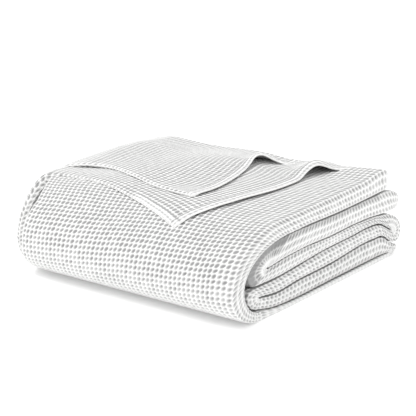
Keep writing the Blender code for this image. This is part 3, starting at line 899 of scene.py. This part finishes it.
def hemMarks(plan, path, fromHem, fromFront, cellP, cellQ):
    # the hem's band ends in a soft step, its grooves are sin^2 along it, and its stitches sink in a
    # narrow Gaussian line; the front edge has the same near the tip
    edge = (hem["wide"] + hem["soft"], hem["wide"] - hem["soft"])
    band = between(*edge, fromHem)
    grooves = band * np.sin(np.pi * cellP) ** 2
    stitchAt = np.abs(fromHem - hem["wide"] + hem["stitchIn"])
    if plan["frontHem"]:
        nearTip = between(*plan["frontHem"], path)
        frontBand = nearTip * between(*edge, fromFront)
        grooves = np.maximum(grooves, frontBand * (1 - band) * np.sin(np.pi * cellQ) ** 2)
        band = np.maximum(band, frontBand)
        frontAt = np.abs(fromFront - hem["wide"] + hem["stitchIn"])
        stitchAt = np.where(nearTip > 0.5, np.minimum(stitchAt, frontAt), stitchAt)
    return band, grooves, hem["stitchSink"] * np.exp(-((stitchAt / hem["stitchWide"]) ** 2))


def twoSidedQuads(rim):
    # the upper side's faces, and the lower side's, whose points on the rim are the upper side's
    rows, columns = rim.shape
    everything = gridQuads(np.ones((rows - 1, columns - 1), bool), columns)
    upperNumber = np.arange(rim.size)
    lowerNumber = np.where(rim.ravel() == 0, upperNumber, upperNumber + rim.size)
    return np.concatenate([everything[:, ::-1], lowerNumber[everything]])


def flapPiece(name):
    # the middle surface, thickened both ways with rounded rims and a thicker front fold, with pits on
    # both faces, half a cell apart
    plan = flapPlans[name]
    alongLine, acrossLine, p, q = flapLines(plan)
    along, across = np.meshgrid(alongLine, acrossLine, indexing="ij")
    cellP, cellQ = np.meshgrid(p, q, indexing="ij")
    middle = flapMiddle(plan, along, across)
    normal = -gridNormals(middle)
    start, tip = plan["front"][0][0], plan["front"][-1][0]
    path = start + along * (tip - start)
    fromHem = (1 - along) * (tip - start)
    fromFront = across * plan["deepness"]
    fromRear = (2 - across) * plan["rearDrop"]
    sides = roundedRim(np.minimum(np.minimum(fromHem, path - start), fromRear), hem["round"])
    rim = np.minimum(roundedRim(fromFront, plan["foldRound"]), sides)
    rim[[0, -1]] = 0.0
    rim[:, [0, -1]] = 0.0
    shallow, deep, begins, full = plan["foldDeep"]
    fold = shallow + (deep - shallow) * between(begins, full, path)
    fold = fold * between(plan["foldRound"] + plan["foldFade"], plan["foldRound"], fromFront)
    half = (plan["thick"] + fold) / 2
    band, grooves, stitch = hemMarks(plan, path, fromHem, fromFront, cellP, cellQ)
    stitch = stitch * rim
    upper = middle + normal * (-fold / 2 + half * rim + hem["thick"] * band * rim)[..., None]
    lower = middle + normal * (-fold / 2 - half * rim)[..., None]
    stepAlong = unitSteps(middle, 0)[0]
    stepAcross, cellAcross = unitSteps(upper, 1)
    relief = np.clip(sides * flapLie["reliefIn"], 0, 1) * fullCell(cellAcross, weave["cellAlong"])
    foldShare = np.clip(fold / flapLie["underFull"], 0, 1)
    reliefUnder = relief * (flapLie["underRelief"] + (1 - flapLie["underRelief"]) * foldShare)
    pressed = 1 - hem["smooth"] * band
    pitUp = (pitDepth(cellP, cellQ) * pressed + hem["grooves"] * grooves) * relief
    pitDown = pitDepth(cellP + 0.5, cellQ) * pressed * reliefUnder
    inward, lowerInward = gridNormals(upper), -gridNormals(lower)
    level = levelShare(-inward)
    shift = stray(stepAlong, stepAcross, cellP, cellQ, flapLie["wanderSeeds"], relief)
    upper = upper + inward * (stitch + depthAt(level) * pitUp)[..., None] + shift
    lower = lower + lowerInward * (weave["depth"] * pitDown)[..., None] + shift
    # painted shade in the pits and stitches on top, and on the lower face back from the front fold
    paintedShadeUp = paintedPitShade(pitUp + hem["stitchShade"] * stitch, level)
    paintedShadeDown = paintedPitShade(pitDown, 0.0) + hem["shade"] * between(*hem["shadeAt"], cellQ)
    points = np.concatenate([upper.reshape(-1, 3), lower.reshape(-1, 3)])
    cells = np.concatenate([np.stack([cellP, cellQ], -1).reshape(-1, 2)] * 2)
    paintedShade = np.concatenate([paintedShadeUp.ravel(), paintedShadeDown.ravel()])
    return clothObject(name, points, twoSidedQuads(rim), cells, paintedShade, cotton)


lowerFlap = flapPiece("lowerFlap")
upperFlap = flapPiece("upperFlap")

# each piece hangs from the root body, and the frame's blanket is hidden
for piece in (innerRuns, underside, outerWrap, lowerFlap, upperFlap):
    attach(piece, "root")
    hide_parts("blanket")
print("pieces placed")

# in metres, watts and degrees
studio = {
    "floor": "#FFFFFF",
    "floorReach": 8.0,
    "floorGlow": 0.15,
    "sky": 0.93,
    "key": {"at": (-0.6, -0.8, 2.2), "size": 1.4, "power": 27.0},
    "fill": {"at": (2.0, 0.2, 0.9), "size": 1.2, "power": 4.5},
    "camera": {"at": (1.13952, -1.48939, 0.61903), "tilt": 74.0, "turn": 37.0, "lens": 112.5},
    "sensor": 36.0,  # width in millimetres, as is the lens
}


def floorPlane():
    # a plain matt white ground, a little lifted with its own light so that it stays pale
    reach = studio["floorReach"]
    corners = [(-reach, -reach, 0), (reach, -reach, 0), (reach, reach, 0), (-reach, reach, 0)]
    mesh = bpy.data.meshes.new("floor")
    mesh.from_pydata(corners, [], [(0, 1, 2, 3)])
    floor = bpy.data.objects.new("floor", mesh)
    bpy.context.collection.objects.link(floor)
    material = bpy.data.materials.new("white studio paper")
    material.use_nodes = True
    shader = material.node_tree.nodes["Principled BSDF"]
    shader.inputs["Base Color"].default_value = linear(studio["floor"])
    shader.inputs["Roughness"].default_value = 1.0
    shader.inputs["Specular IOR Level"].default_value = 0.0
    shader.inputs["Emission Color"].default_value = (1, 1, 1, 1)
    shader.inputs["Emission Strength"].default_value = studio["floorGlow"]
    mesh.materials.append(material)


def evenSky(scene):
    # the same white from every side
    world = scene.world or bpy.data.worlds.new("studio")
    scene.world = world
    world.use_nodes = True
    background = world.node_tree.nodes["Background"]
    background.inputs["Color"].default_value = (1, 1, 1, 1)
    background.inputs["Strength"].default_value = studio["sky"]


def softbox(name):
    # a square soft light that faces the middle of the blanket: tilt and turn from the way it looks
    settings = studio[name]
    data = bpy.data.lights.new(name, "AREA")
    data.shape = "SQUARE"
    data.size = settings["size"]
    data.energy = settings["power"]
    light = bpy.data.objects.new(name, data)
    bpy.context.collection.objects.link(light)
    light.location = settings["at"]
    x, y, z = settings["at"]
    light.rotation_euler = (math.atan2(math.hypot(x, y), z), 0.0, math.atan2(-y, -x) - math.pi / 2)


def photoCamera(scene):
    # from the blanket's front right corner, looking down a little
    settings = studio["camera"]
    data = bpy.data.cameras.new("camera")
    data.lens = settings["lens"]
    data.sensor_width = studio["sensor"]
    camera = bpy.data.objects.new("camera", data)
    bpy.context.collection.objects.link(camera)
    camera.location = settings["at"]
    camera.rotation_euler = (math.radians(settings["tilt"]), 0.0, math.radians(settings["turn"]))
    scene.camera = camera


scene = bpy.context.scene
floorPlane()
evenSky(scene)
softbox("key")
softbox("fill")
photoCamera(scene)
scene.view_settings.view_transform = "Standard"
print("studio ready")

bpy.context.view_layer.update()
